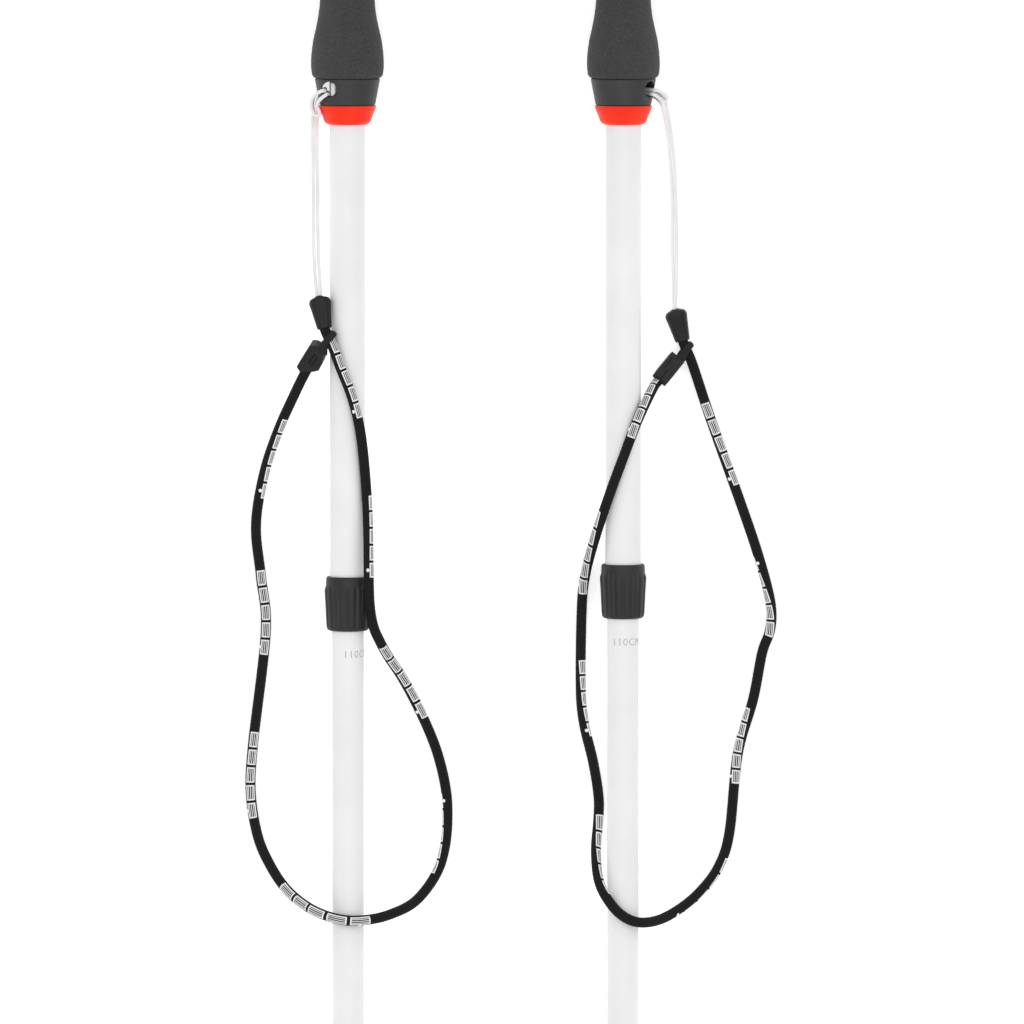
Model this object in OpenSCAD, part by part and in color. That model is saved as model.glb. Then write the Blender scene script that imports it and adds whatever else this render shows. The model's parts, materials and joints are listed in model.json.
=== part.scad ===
// Pair of two-section telescopic poles with wrist leashes, lying side by side on a floor.
// Millimetres. +Y runs from the tips to the grips, +X from the left pole to the right one,
// +Z is up and the floor is z = 0. Each pole lies on its grip head and its basket.

/* [Pole] */
// Length of the left pole, tip to grip head, as it lies
pole_len = 1112; // [1090:2:1120]
// Distance between the two pole axes
pole_gap = 139; // [130:1:160]
// Outer diameter of the upper tube
upper_od = 18; // [18:0.1:18.4]
// Outer diameter of the lower tube
lower_od = 16; // [15.6:0.1:16]
// Wall of both tubes
tube_wall = 0.9; // [0.8:0.05:0.95]
// How much further the right shaft is pushed into its grip
right_inset = 6.3; // [0:0.1:7]

/* [Grip] */
// Diameter of the grip head, which the pole rests on
head_d = 40; // [40:1:44]
// Length of the foam grip
foam_len = 235; // [230:1:236]
// Diameter of the foam at its narrow waist
foam_waist_d = 27.4; // [26:0.2:30]
// Diameter of the foam at its flared lower end
foam_flare_d = 36.8; // [35:0.2:38]
// Length of the collar that holds the leash
collar_len = 13.5; // [13:0.1:14]
// Diameter of the collar where it meets the foam
collar_top_d = 33.2; // [33:0.1:34]
// Diameter of the collar at its lower end
collar_base_d = 28.2; // [28:0.1:28.6]
// Diameter of the leash eyelet drilled across the collar
eyelet_d = 7.8; // [7.6:0.1:7.9]
// Distance of the eyelet from the pole axis
eyelet_offset = 8.7; // [8.7:0.1:8.8]
// Turn of the right collar about its pole, in degrees
right_collar_turn = 26; // [26:1:27]
// Length of the tapered trim ring
ring_len = 9.8; // [9.6:0.1:10]

/* [Lock] */
// Largest diameter of the lock nut
nut_d = 23.7; // [23.6:0.1:24]
// Length of the lock nut
nut_len = 27.5; // [27.5:0.1:28]
// Grip flutes round the lock nut
flute_count = 16; // [12:1:20]
// Diameter over the thread of the collet sleeve
thread_d = 21.36; // [21.3:0.02:21.4]

/* [Tip] */
// Diameter of the basket, which the pole rests on
basket_d = 40; // [40:1:44]
// Windows in the basket
basket_windows = 6; // [4:1:8]
// Diameter of the spigot that a rubber foot pushes on to
spigot_d = 11; // [10:0.2:12]
// Length of that spigot
spigot_len = 24; // [20:1:24]

/* [Leash] */
// Diameter of the thin cord
cord_d = 1.9; // [1.8:0.05:1.9]
// Diameter of the lanyard
lanyard_d = 5.2; // [5:0.1:5.2]
// Length of the cord end
cord_end_len = 16.4; // [16:0.1:17]
// Length of the slider
slider_len = 15.4; // [15:0.1:16]
// Thickness of the slider, both halves together
slider_thick = 8.2; // [8:0.1:8.4]

/* [Hidden] */
$fn = 64;

LEFT = -1;
RIGHT = 1;
GLUED = 0.02; // gap left in a glued or pressed joint
RUNNING = 0.06; // radial gap of a running fit
FREE = 0.35; // gap between pieces that pass without touching
axis_z = max(head_d, basket_d) / 2;
upper_r = upper_od / 2;
lower_r = lower_od / 2;

// Stations along a pole's own axis, the same as Y in the pair's frame.
head_top = pole_len / 2;
head_base = head_top - 40;
foam_top = head_base;
foam_base = foam_top - foam_len;
collar_base = foam_base - collar_len;
ring_base = collar_base - ring_len;
eyelet_at = foam_base - 5.1;
nut_top = 29.5;
nut_base = nut_top - nut_len;
tube_base = 14;
tube_top = 528;
lower_top = 430;
tip_end = -pole_len / 2;
ferrule_base = tip_end + 20;
spigot_top = ferrule_base + 4 + spigot_len;
basket_top = spigot_top + 12;
ferrule_top = tip_end + 116;
lower_base = ferrule_top - 20;

// Catmull-Rom point between b and c, with t from 0 to 1.
function between(a, b, c, d, t) =
    0.5 * (2 * b + (c - a) * t + (2 * a - 5 * b + 4 * c - d) * t * t
        + (3 * b - a - 3 * c + d) * t * t * t);

// The neighbour before or after the list's own ends carries the end segment straight on.
function knot(p, i) =
    i < 0 ? 2 * p[0] - p[1] :
    i >= len(p) ? 2 * p[len(p) - 1] - p[len(p) - 2] :
    p[i];

// A smooth line through the points of p, with a step of about the given length.
function smooth(p, step) = [
    for (i = [0 : len(p) - 2])
        let (n = max(1, round(norm(p[i + 1] - p[i]) / step)))
            for (j = [0 : n - 1])
                between(knot(p, i - 1), p[i], p[i + 1], knot(p, i + 2), j / n),
    p[len(p) - 1]
];

function unit(v) = v / norm(v);
function square_to(v, t) = unit(v - (v * t) * t);
function heading(p, i) = unit(p[min(i + 1, len(p) - 1)] - p[max(i - 1, 0)]);

// One sideways vector for each ring, carried along the line without twisting.
function sideways(p) = [
    for (
        i = 0, s = square_to([0.31, 0.17, 1], heading(p, 0));
        i < len(p);
        i = i + 1, s = i < len(p) ? square_to(s, heading(p, i)) : s
    ) s
];

// A round tube of radius r and the given number of sides along the line p.
module sweep(p, r, sides) {
    side = sideways(p);
    points = [
        for (i = [0 : len(p) - 1])
            let (t = heading(p, i), u = side[i], v = cross(t, u))
                for (k = [0 : sides - 1])
                    p[i] + r * (cos(360 * k / sides) * u + sin(360 * k / sides) * v)
    ];
    rings = [
        for (i = [0 : len(p) - 2], k = [0 : sides - 1])
            let (a = i * sides + k, b = i * sides + (k + 1) % sides)
                each [[a, a + sides, b], [b, a + sides, b + sides]]
    ];
    first = [[for (k = [0 : sides - 1]) k]];
    last = [[for (k = [sides - 1 : -1 : 0]) (len(p) - 1) * sides + k]];
    polyhedron(points, concat(rings, first, last), convexity = 10);
}

// Puts a piece that is drawn along +Z on to the axis of one of the poles.
module on_pole(side, shift = 0) {
    translate([side * pole_gap / 2, shift, axis_z])
        rotate([-90, 0, 0])
            children();
}

// Puts a piece that is made for one pole's leash beside that pole, at its own height.
module beside_pole(side) {
    translate([side * pole_gap / 2, 0, 0])
        children();
}

// Turns a piece that is drawn along +X to run from one point towards another.
module aim(from, to) {
    d = to - from;
    translate(from)
        rotate([0, -asin(d[2] / norm(d)), atan2(d[1], d[0])])
            children();
}

module tube_solid(r, wall, from, to) {
    translate([0, 0, from])
        difference() {
            cylinder(r = r, h = to - from);
            translate([0, 0, -1])
                cylinder(r = r - wall, h = to - from + 2);
        }
}

// ---- Grip ----

head_core_r = upper_r + GLUED;
core_r = 10.6;
cap_r = 9;
cap_deep = 1.6;
// Height above the head's base and radius
head_profile = [
    [0, 17.0], [5, 18.0], [12, 19.4], [20, head_d / 2], [27, 19.6], [33, 17.3], [37, 13.4],
    [39.2, cap_r]
];

module grip_head() {
    color("#2b2b2d")
        difference() {
            translate([0, 0, head_base])
                rotate_extrude()
                    polygon(concat([[0, 0]], [for (p = smooth(head_profile, 1.5)) [p[1], p[0]]],
                        [[cap_r, 39.2], [cap_r, 39.2 - cap_deep], [0, 39.2 - cap_deep]]));
            translate([0, 0, head_base - 1])
                cylinder(r = head_core_r, h = tube_top + right_inset - head_base + 3);
        }
}

module head_cap() {
    color("#3a3a3c")
        translate([0, 0, head_base + 39.2 - cap_deep + GLUED])
            rotate_extrude()
                polygon([
                    [0, 0], [cap_r - GLUED, 0], [cap_r - GLUED, cap_deep],
                    [cap_r * 0.6, 2.15], [0, head_top - head_base - 39.2 + cap_deep - GLUED]
                ]);
}

// The moulded sleeve that the foam is bonded to.
module grip_core() {
    color("#1f1f21")
        tube_solid(core_r, core_r - upper_r - GLUED, foam_base, head_base - GLUED);
}

flare_round = 3;
foam_flare_r = foam_flare_d / 2;
foam_waist_r = foam_waist_d / 2;
// Height above the foam's base and radius
foam_profile = [
    [flare_round, foam_flare_r - 0.3], [6.5, foam_flare_r], [12, foam_flare_r - 0.15],
    [19, foam_flare_r - 1.1], [26, foam_waist_r + 2.1], [33, foam_waist_r + 0.8],
    [40, foam_waist_r + 0.15], [52, foam_waist_r], [76, foam_waist_r + 0.9],
    [106, foam_waist_r + 2.0], [136, foam_waist_r + 1.5], [166, foam_waist_r + 0.5],
    [190, foam_waist_r + 0.9], [214, foam_waist_r + 2.4], [229, foam_waist_r + 3.2]
];

module foam_grip() {
    color("#434345")
        translate([0, 0, foam_base])
            rotate_extrude()
                polygon(concat(
                    [[core_r + GLUED, 0]],
                    [
                        for (a = [-90 : 15 : -15])
                            [foam_flare_r - 0.3 - flare_round + flare_round * cos(a),
                                flare_round + flare_round * sin(a)]
                    ],
                    [for (p = smooth(foam_profile, 2.5)) [p[1], p[0]]],
                    [[foam_waist_r + 2.6, foam_len - 1.6], [foam_waist_r + 1, foam_len - GLUED],
                        [core_r + GLUED, foam_len - GLUED]]
                ));
}

collar_top_r = collar_top_d / 2;
collar_base_r = collar_base_d / 2;

module leash_collar() {
    color("#444446")
        difference() {
            translate([0, 0, collar_base])
                rotate_extrude()
                    polygon([
                        [upper_r + GLUED, 0], [collar_base_r - 0.5, 0], [collar_base_r, 0.6],
                        [collar_top_r - 0.2, collar_len - 0.7], [collar_top_r - 0.2, collar_len - GLUED],
                        [upper_r + GLUED, collar_len - GLUED]
                    ]);
            translate([-eyelet_offset, 0, eyelet_at])
                rotate([90, 0, 0])
                    cylinder(d = eyelet_d, h = 2 * collar_top_d, center = true);
        }
}

ring_top_r = collar_base_r + 0.4;

module trim_ring() {
    color("#f93a2a")
        translate([0, 0, ring_base])
            rotate_extrude()
                polygon([
                    [upper_r + GLUED, 0], [upper_r + 0.9, 0.3], [upper_r + 2.1, 1.0],
                    [upper_r + 2.9, 2.2], [upper_r + 3.3, 3.8], [ring_top_r - 0.1, ring_len - 1.0],
                    [ring_top_r, ring_len - 0.5], [ring_top_r - 0.3, ring_len - GLUED],
                    [upper_r + GLUED, ring_len - GLUED]
                ]);
}

// ---- Shaft ----

module upper_tube() {
    color("#f2f2f3")
        tube_solid(upper_r, tube_wall, tube_base, tube_top);
}

plug_len = 14;

module tube_plug() {
    color("#1f1f21")
        translate([0, 0, tube_top - plug_len])
            rotate_extrude()
                polygon([
                    [0, 0], [upper_r - tube_wall - GLUED, 0], [upper_r - tube_wall - GLUED, plug_len + GLUED],
                    [upper_r, plug_len + GLUED], [upper_r, plug_len + 1.2], [0, plug_len + 1.2]
                ]);
}

module lower_tube() {
    color("#f2f2f3")
        tube_solid(lower_r, tube_wall, lower_base, lower_top);
}

// Plug in the top of the lower tube, whose rim guides it inside the upper tube.
bush_len = 16;

module guide_bush() {
    color("#1f1f21")
        translate([0, 0, lower_top - bush_len])
            rotate_extrude()
                polygon([
                    [0, 0], [lower_r - tube_wall - GLUED, 0], [lower_r - tube_wall - GLUED, bush_len + GLUED],
                    [upper_r - tube_wall - RUNNING, bush_len + GLUED],
                    [upper_r - tube_wall - RUNNING, bush_len + 4], [lower_r - 1, bush_len + 5],
                    [0, bush_len + 5]
                ]);
}

// ---- Lock ----

thread_r = thread_d / 2;
sleeve_top = 22.6;
taper_top = 15;
taper_base = 6;
taper_top_r = 9.6;
taper_base_r = 8.9;
slit_w = 1.2;

// Threaded sleeve glued over the end of the upper tube, with a split taper below it.
module collet_sleeve() {
    color("#1f1f21")
        difference() {
            rotate_extrude()
                polygon([
                    [lower_r + RUNNING, taper_base], [taper_base_r, taper_base],
                    [taper_top_r, taper_top], [thread_r, taper_top + 0.4], [thread_r, sleeve_top],
                    [upper_r + GLUED, sleeve_top], [upper_r + GLUED, tube_base - GLUED],
                    [lower_r + RUNNING, tube_base - GLUED]
                ]);
            for (turn = [0, 90])
                rotate([0, 0, turn])
                    translate([-thread_d, -slit_w / 2, taper_base - 1])
                        cube([2 * thread_d, slit_w, tube_base - taper_base]);
        }
}

cavity_r = thread_r + 0.07;
cavity_top = 24.2;
cavity_step = 13.6;
cavity_base = nut_base + 1.8;
lip_r = upper_r + FREE;
wedge_r = 10.1;
wedge_bore_r = lower_r + 0.5;
wedge_top = 12.2;
wedge_step = 5.6;
wedge_seat_r = wedge_r + 0.07;

function taper_r(y) =
    taper_base_r + (taper_top_r - taper_base_r) * (y - taper_base) / (taper_top - taper_base);

// Ring that the nut drives up over the split taper.
module wedge_ring() {
    color("#c9c9cc")
        rotate_extrude()
            polygon([
                [wedge_bore_r, cavity_base + FREE], [wedge_r, cavity_base + FREE],
                [wedge_r, wedge_top], [taper_r(wedge_top) + FREE, wedge_top],
                [taper_r(wedge_step) + FREE, wedge_step], [wedge_bore_r, wedge_step]
            ]);
}

nut_r = nut_d / 2;
flute_w = 1.9;
flute_floor_r = nut_r - 0.55;

module lock_nut() {
    color("#39393b")
        difference() {
            translate([0, 0, nut_base])
                rotate_extrude()
                    polygon([
                        [lower_r + FREE, 0], [nut_r - 2.4, 0], [nut_r - 1.3, 0.9], [nut_r - 0.95, 2.6],
                        [nut_r - 0.8, 5.5], [nut_r - 0.45, 13], [nut_r - 0.05, nut_len - 8],
                        [nut_r, nut_len - 7], [nut_r - 0.3, nut_len - 5.8], [nut_r - 0.75, nut_len - 4.6],
                        [nut_r - 0.85, nut_len - 1.0], [nut_r - 1.3, nut_len], [lip_r, nut_len],
                        [lip_r, cavity_top - nut_base], [cavity_r, cavity_top - nut_base],
                        [cavity_r, cavity_step - nut_base], [wedge_seat_r, cavity_step - nut_base],
                        [wedge_seat_r, cavity_base - nut_base], [lower_r + FREE, cavity_base - nut_base]
                    ]);
            for (i = [0 : flute_count - 1])
                rotate([0, 0, (i + 0.5) * 360 / flute_count])
                    translate([flute_floor_r, -flute_w / 2, nut_base + 4])
                        cube([2, flute_w, nut_len - 10]);
        }
}

// ---- Tip ----

spigot_r = spigot_d / 2;
basket_r = basket_d / 2;
seat_r = 6.2;
pin_r = 2;
pin_deep = 12;

module tip_ferrule() {
    color("#2b2b2d")
        difference() {
            rotate_extrude()
                polygon([
                    [0, ferrule_base], [spigot_r - 1, ferrule_base], [spigot_r, ferrule_base + 4],
                    [spigot_r, spigot_top], [seat_r, spigot_top], [seat_r, basket_top],
                    [7.6, basket_top], [7.6, basket_top + 2], [6.6, basket_top + 6],
                    [lower_r + 0.6, ferrule_top - 26], [lower_r + 1.1, ferrule_top - 4],
                    [lower_r + 0.7, ferrule_top], [0, ferrule_top]
                ]);
            translate([0, 0, lower_base - GLUED])
                cylinder(r = lower_r + GLUED, h = ferrule_top - lower_base + 1);
            translate([0, 0, ferrule_base - 1])
                cylinder(r = pin_r + GLUED, h = pin_deep + 1);
        }
}

hub_r = 9;
window_r = 3.2;
window_at = 14.4;
dish_z = spigot_top + 5;

module basket() {
    color("#2b2b2d")
        difference() {
            rotate_extrude()
                polygon([
                    [seat_r + GLUED, spigot_top + GLUED], [hub_r - 1, spigot_top + GLUED],
                    [hub_r, spigot_top + 1], [hub_r + 0.5, dish_z], [basket_r - 1.2, dish_z - 2],
                    [basket_r, dish_z - 1], [basket_r, dish_z + 1], [basket_r - 0.8, dish_z + 1.6],
                    [hub_r + 0.5, dish_z + 2.4], [hub_r, basket_top - 0.6],
                    [hub_r - 0.6, basket_top - GLUED], [seat_r + GLUED, basket_top - GLUED]
                ]);
            for (i = [0 : basket_windows - 1])
                rotate([0, 0, (i + 0.5) * 360 / basket_windows])
                    translate([window_at, 0, dish_z - 5])
                        cylinder(r = window_r, h = 12);
        }
}

module carbide_tip() {
    color("#9a9aa0")
        rotate_extrude()
            polygon([
                [0, tip_end + 0.8], [1.5, tip_end], [2.2, tip_end + 2.5], [3, tip_end + 8],
                [3.2, ferrule_base - GLUED], [pin_r, ferrule_base - GLUED],
                [pin_r, ferrule_base + pin_deep - GLUED], [0, ferrule_base + pin_deep - GLUED]
            ]);
}

// ---- Leash ----
// Routes are [x from the pole's axis, y, z above the floor].

// The thin cord starts in the cord end, is girth-hitched through the eyelet and comes back.
left_cord_route = [
    [-13.4, 169.5, 25.3], [-14.1, 179, 19.4], [-14.9, 193, 7], [-15.2, 207, 1.8],
    [-15.2, 224, 1.8], [-15.5, 239, 6.4], [-15.5, 252, 15.2], [-15.4, 261, 20.4],
    [-15.1, 265, 20.6], [-15.6, 268, 18], [-14.6, 270.8, 12.6], [-12.4, 272.7, 8],
    [-10.6, 273.5, 7.4], [-10.1, 273.55, 11], [-10.1, 273.55, 29], [-10.9, 273, 32.3],
    [-13, 271.4, 30.8], [-14.9, 269, 27.2], [-15.1, 266.8, 25.3], [-14.1, 264.6, 25.2],
    [-14.3, 262.4, 25], [-16.2, 262.4, 24.2], [-17.8, 264.8, 23.6], [-18.2, 268, 23.6],
    [-17.6, 270.8, 25.2], [-15.9, 273.2, 28.4], [-13.2, 275, 32], [-11.5, 275.3, 31.4],
    [-11.35, 275.3, 28], [-11.35, 275.3, 11], [-12.3, 275.2, 6.8], [-14.7, 274, 7.6],
    [-17, 271.2, 13], [-17.7, 267.8, 18.2], [-17.1, 264.2, 20.2], [-17.5, 259.6, 19.8],
    [-17.6, 239, 6.4], [-17.5, 215, 1.8], [-17.1, 190, 8.8], [-15.4, 169.5, 25.6]
];
right_cord_route = [
    [26.1, 161.6, 4.9], [25.6, 172, 2.2], [25.1, 190, 1.4], [24.7, 222, 1.4], [23.8, 238, 4.6],
    [22.6, 250, 11], [20.9, 262, 18], [19.2, 268, 20.6], [17.2, 270.6, 17.4], [15.2, 271.6, 11],
    [10.6, 272.6, 4.6], [5.6, 273.1, 2.6], [3.5, 273.3, 3.9], [4.9, 273.4, 6.5],
    [12.7, 273.4, 22.9], [14.3, 273.4, 27], [15.9, 272.9, 28.4], [18.2, 271.2, 26.2],
    [20, 269.6, 23.8], [21.6, 269.8, 23.4], [21.9, 271.8, 24.2], [20, 273.7, 26.2],
    [18, 275.1, 28.3], [15.9, 275.4, 28.2], [13.4, 275.4, 23.6], [5.2, 275.4, 6.6],
    [3.9, 275.4, 3.2], [6.2, 275.2, 1.8], [11.8, 274.6, 3.4], [17.2, 273.2, 9.4],
    [19.7, 271.5, 15.8], [21.3, 268.8, 19.4], [22.9, 262, 17.6], [24.6, 250, 10.6],
    [25.9, 238, 4.6], [26.7, 222, 1.5], [27.2, 190, 1.6], [26.9, 172, 4.4], [26.1, 161.6, 6.9]
];

left_lanyard_route = [
    [-12.5, 160.5, 27], [-11.4, 154.6, 27.8], [-9.3, 150.4, 29.8], [-6.5, 144, 31.8],
    [-3.6, 135.9, 32.2], [2.7, 119.6, 31.9], [7.2, 98.5, 29.9], [10, 64, 27.4],
    [10.6, 31.9, 30.2], [11.1, 16, 30.2], [12.9, 4.9, 27.6], [16.1, -3.2, 22],
    [20.3, -11.5, 15.4], [26.6, -21.6, 8.4], [32.9, -33.3, 4], [40, -48.3, 2.8],
    [45.3, -62.3, 2.8], [49.1, -78.3, 2.8], [50.2, -92, 2.8], [49.1, -108.1, 2.8],
    [44.7, -122.6, 4.4], [34.2, -136, 11.4], [21.6, -141.8, 21.6], [10, -143.9, 29],
    [-1, -144, 31.2], [-12.1, -141.5, 28.2], [-22.2, -137.2, 19.2], [-31.9, -129.7, 9.6],
    [-40.1, -117.9, 3.8], [-46.1, -103.5, 2.8], [-49.5, -82.1, 2.8], [-48.4, -57.9, 2.8],
    [-41.8, 0, 2.8], [-44.2, 27.9, 2.8], [-46.7, 54, 2.8], [-42.6, 80.1, 3.2],
    [-35.4, 102.1, 7.6], [-26.7, 121.7, 14.8], [-20.9, 133.5, 20], [-16.3, 140.8, 23.5]
];
right_lanyard_route = [
    [28.6, 154, 4.9], [30, 148.4, 5], [31.8, 143.6, 5.2], [35.1, 136, 4.6], [44.4, 107.9, 2.8],
    [59.4, 66, 2.8], [67.6, 42, 2.8], [73.3, 22, 2.8], [75.3, 10, 2.8], [74.4, -0.1, 2.8],
    [70.6, -10.6, 2.8], [66.1, -34.1, 2.8], [58.3, -62.1, 2.8], [54.1, -102.2, 2.8],
    [48.6, -119.6, 2.9], [39.5, -131.8, 5], [29.1, -139.9, 11.6], [18.2, -144.8, 20.4],
    [8, -145.2, 29.4], [-0.4, -141.6, 31.2], [-7.4, -134.2, 29.4], [-12.3, -124.2, 23.4],
    [-13.6, -110, 12.4], [-12.4, -96, 5.2], [-12.2, -84, 2.9], [-15, -66.1, 2.8],
    [-19.7, -46.1, 2.8], [-21.3, -27, 2.8], [-20.7, 14, 4.4], [-18.7, 31.1, 10.8],
    [-15, 46.1, 20], [-10.4, 61.2, 27.4], [-5.3, 76.2, 31.4], [0.3, 91.2, 32], [6, 106.2, 30.8],
    [11.6, 118.1, 24.3], [15.9, 125.9, 15.8], [18.5, 128.7, 12.8], [22.8, 133.9, 10.2]
];

cord_step = 5.2;
lanyard_step = 13;

module leash_cord(route) {
    color("#f4f4f4")
        sweep(smooth(route, cord_step), cord_d / 2, 8);
}

module lanyard(route) {
    color("#202022")
        sweep(smooth(route, lanyard_step), lanyard_d / 2, 10);
}

end_wide_r = 5.6;
end_narrow_r = 3.5;

// Drawn along +X from the end where the thin cord goes in.
module cord_end() {
    color("#2e2e30")
        rotate([0, 90, 0])
            difference() {
                rotate_extrude()
                    polygon([
                        [0, 0], [2.4, 0], [4.4, 1.0], [end_wide_r - 0.3, 2.0], [end_wide_r, 3.0],
                        [end_wide_r - 0.1, 5.0], [end_narrow_r + 0.2, cord_end_len - 0.8],
                        [end_narrow_r - 0.2, cord_end_len], [0, cord_end_len]
                    ]);
                translate([0, 0, -1])
                    cylinder(r = cord_d + 0.15, h = 3.6);
                translate([0, 0, cord_end_len - 7])
                    cylinder(r = lanyard_d / 2 + 0.1, h = 8);
            }
}

// Along +X from the end that the lanyard goes in at to the band's end.
slider_outline = [
    [0, 5.4], [-1.5, 2.6], [2.3, -3.0], [4.6, -5.1], [9.4, -4.7], [12.2, -3.3],
    [slider_len, -2.7], [slider_len, 3.0], [14, 5.4]
];
window_size = [6.2, 2.4, 0.7];

// One of the two halves that snap together round the lanyard's end.
module slider_half() {
    color("#323234")
        difference() {
            translate([0, 0, GLUED / 2])
                linear_extrude(slider_thick / 2 - GLUED / 2)
                    polygon(slider_outline);
            translate([-2, 0, 0])
                rotate([0, 90, 0])
                    cylinder(r = lanyard_d / 2 + 0.1, h = 11);
            translate([5, -window_size[1] / 2, slider_thick / 2 - window_size[2]])
                cube([window_size[0], window_size[1], 2]);
        }
}

band_w = 3.6;
band_hole_r = lanyard_d / 2 + 0.15;
band_r = band_hole_r + 1.6;

// A flat loop round the lanyard: its round end is at the origin and its legs run along -X.
module slider_band(leg) {
    color("#262628")
        rotate([90, 0, 0])
            translate([0, 0, -band_w / 2])
                linear_extrude(band_w)
                    difference() {
                        union() {
                            circle(r = band_r);
                            translate([-leg, -band_r])
                                square([leg, 2 * band_r]);
                        }
                        circle(r = band_hole_r);
                        translate([-leg - 1, -band_hole_r])
                            square([leg + 1, 2 * band_hole_r]);
                    }
}

left_end_from = [-14.4, 171.2, 25.3];
left_end_to = [-11.4, 154.6, 27.8];
right_end_from = [26.1, 163.6, 5.9];
right_end_to = [30.0, 148.4, 4.9];
left_slider_from = [-20.4, 134.1, 20.4];
left_slider_to = [-12.6, 146.8, 26.4];
right_slider_from = [18.1, 128.2, 12.8];
right_slider_to = [27.8, 139.9, 7.4];
left_band_at = [-9.3, 150.4, 29.8];
right_band_at = [31.8, 143.6, 5.2];
band_leg = 6.4;

module left_slider_frame() {
    beside_pole(LEFT)
        aim(left_slider_from, left_slider_to)
            children();
}

module right_slider_frame() {
    beside_pole(RIGHT)
        aim(right_slider_from, right_slider_to)
            rotate([90, 0, 0])
                children();
}

module left_head_cap() { on_pole(LEFT) head_cap(); }
module left_grip_head() { on_pole(LEFT) grip_head(); }
module left_grip_core() { on_pole(LEFT) grip_core(); }
module left_foam_grip() { on_pole(LEFT) foam_grip(); }
module left_leash_collar() { on_pole(LEFT) leash_collar(); }
module left_trim_ring() { on_pole(LEFT) trim_ring(); }
module left_upper_tube() { on_pole(LEFT) upper_tube(); }
module left_tube_plug() { on_pole(LEFT) tube_plug(); }
module left_collet_sleeve() { on_pole(LEFT) collet_sleeve(); }
module left_wedge_ring() { on_pole(LEFT) wedge_ring(); }
module left_lock_nut() { on_pole(LEFT) lock_nut(); }
module left_lower_tube() { on_pole(LEFT) lower_tube(); }
module left_guide_bush() { on_pole(LEFT) guide_bush(); }
module left_tip_ferrule() { on_pole(LEFT) tip_ferrule(); }
module left_basket() { on_pole(LEFT) basket(); }
module left_carbide_tip() { on_pole(LEFT) carbide_tip(); }
module left_leash_cord() { beside_pole(LEFT) leash_cord(left_cord_route); }
module left_cord_end() { beside_pole(LEFT) aim(left_end_from, left_end_to) cord_end(); }
module left_lanyard() { beside_pole(LEFT) lanyard(left_lanyard_route); }
module left_slider_front() { left_slider_frame() slider_half(); }
module left_slider_back() { left_slider_frame() mirror([0, 0, 1]) slider_half(); }
module left_slider_band() {
    beside_pole(LEFT)
        aim(left_band_at, 2 * left_band_at - left_slider_to)
            slider_band(band_leg);
}

module right_head_cap() { on_pole(RIGHT) head_cap(); }
module right_grip_head() { on_pole(RIGHT) grip_head(); }
module right_grip_core() { on_pole(RIGHT) grip_core(); }
module right_foam_grip() { on_pole(RIGHT) foam_grip(); }
module right_leash_collar() {
    on_pole(RIGHT)
        rotate([0, 0, right_collar_turn])
            mirror([1, 0, 0])
                leash_collar();
}
module right_trim_ring() { on_pole(RIGHT) trim_ring(); }
module right_upper_tube() { on_pole(RIGHT, right_inset) upper_tube(); }
module right_tube_plug() { on_pole(RIGHT, right_inset) tube_plug(); }
module right_collet_sleeve() { on_pole(RIGHT, right_inset) collet_sleeve(); }
module right_wedge_ring() { on_pole(RIGHT, right_inset) wedge_ring(); }
module right_lock_nut() { on_pole(RIGHT, right_inset) lock_nut(); }
module right_lower_tube() { on_pole(RIGHT, right_inset) lower_tube(); }
module right_guide_bush() { on_pole(RIGHT, right_inset) guide_bush(); }
module right_tip_ferrule() { on_pole(RIGHT, right_inset) tip_ferrule(); }
module right_basket() { on_pole(RIGHT, right_inset) basket(); }
module right_carbide_tip() { on_pole(RIGHT, right_inset) carbide_tip(); }
module right_leash_cord() { beside_pole(RIGHT) leash_cord(right_cord_route); }
module right_cord_end() { beside_pole(RIGHT) aim(right_end_from, right_end_to) cord_end(); }
module right_lanyard() { beside_pole(RIGHT) lanyard(right_lanyard_route); }
module right_slider_front() { right_slider_frame() slider_half(); }
module right_slider_back() { right_slider_frame() mirror([0, 0, 1]) slider_half(); }
module right_slider_band() {
    beside_pole(RIGHT)
        aim(right_band_at, 2 * right_band_at - right_slider_to)
            slider_band(band_leg);
}

left_head_cap();
left_grip_head();
left_grip_core();
left_foam_grip();
left_leash_collar();
left_trim_ring();
left_upper_tube();
left_tube_plug();
left_collet_sleeve();
left_wedge_ring();
left_lock_nut();
left_lower_tube();
left_guide_bush();
left_tip_ferrule();
left_basket();
left_carbide_tip();
left_leash_cord();
left_cord_end();
left_lanyard();
left_slider_front();
left_slider_back();
left_slider_band();
right_head_cap();
right_grip_head();
right_grip_core();
right_foam_grip();
right_leash_collar();
right_trim_ring();
right_upper_tube();
right_tube_plug();
right_collet_sleeve();
right_wedge_ring();
right_lock_nut();
right_lower_tube();
right_guide_bush();
right_tip_ferrule();
right_basket();
right_carbide_tip();
right_leash_cord();
right_cord_end();
right_lanyard();
right_slider_front();
right_slider_back();
right_slider_band();
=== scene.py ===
"""Looks for a pair of two-section telescopic poles with wrist leashes, lying side by side.

Metres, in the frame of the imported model: +Y runs from the tips to the grips, +X from the left pole to
the right one, +Z is up, and the floor is z = 0.
"""
import json
import math

import bmesh
import bpy
import numpy as np
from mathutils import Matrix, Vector, noise


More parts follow.
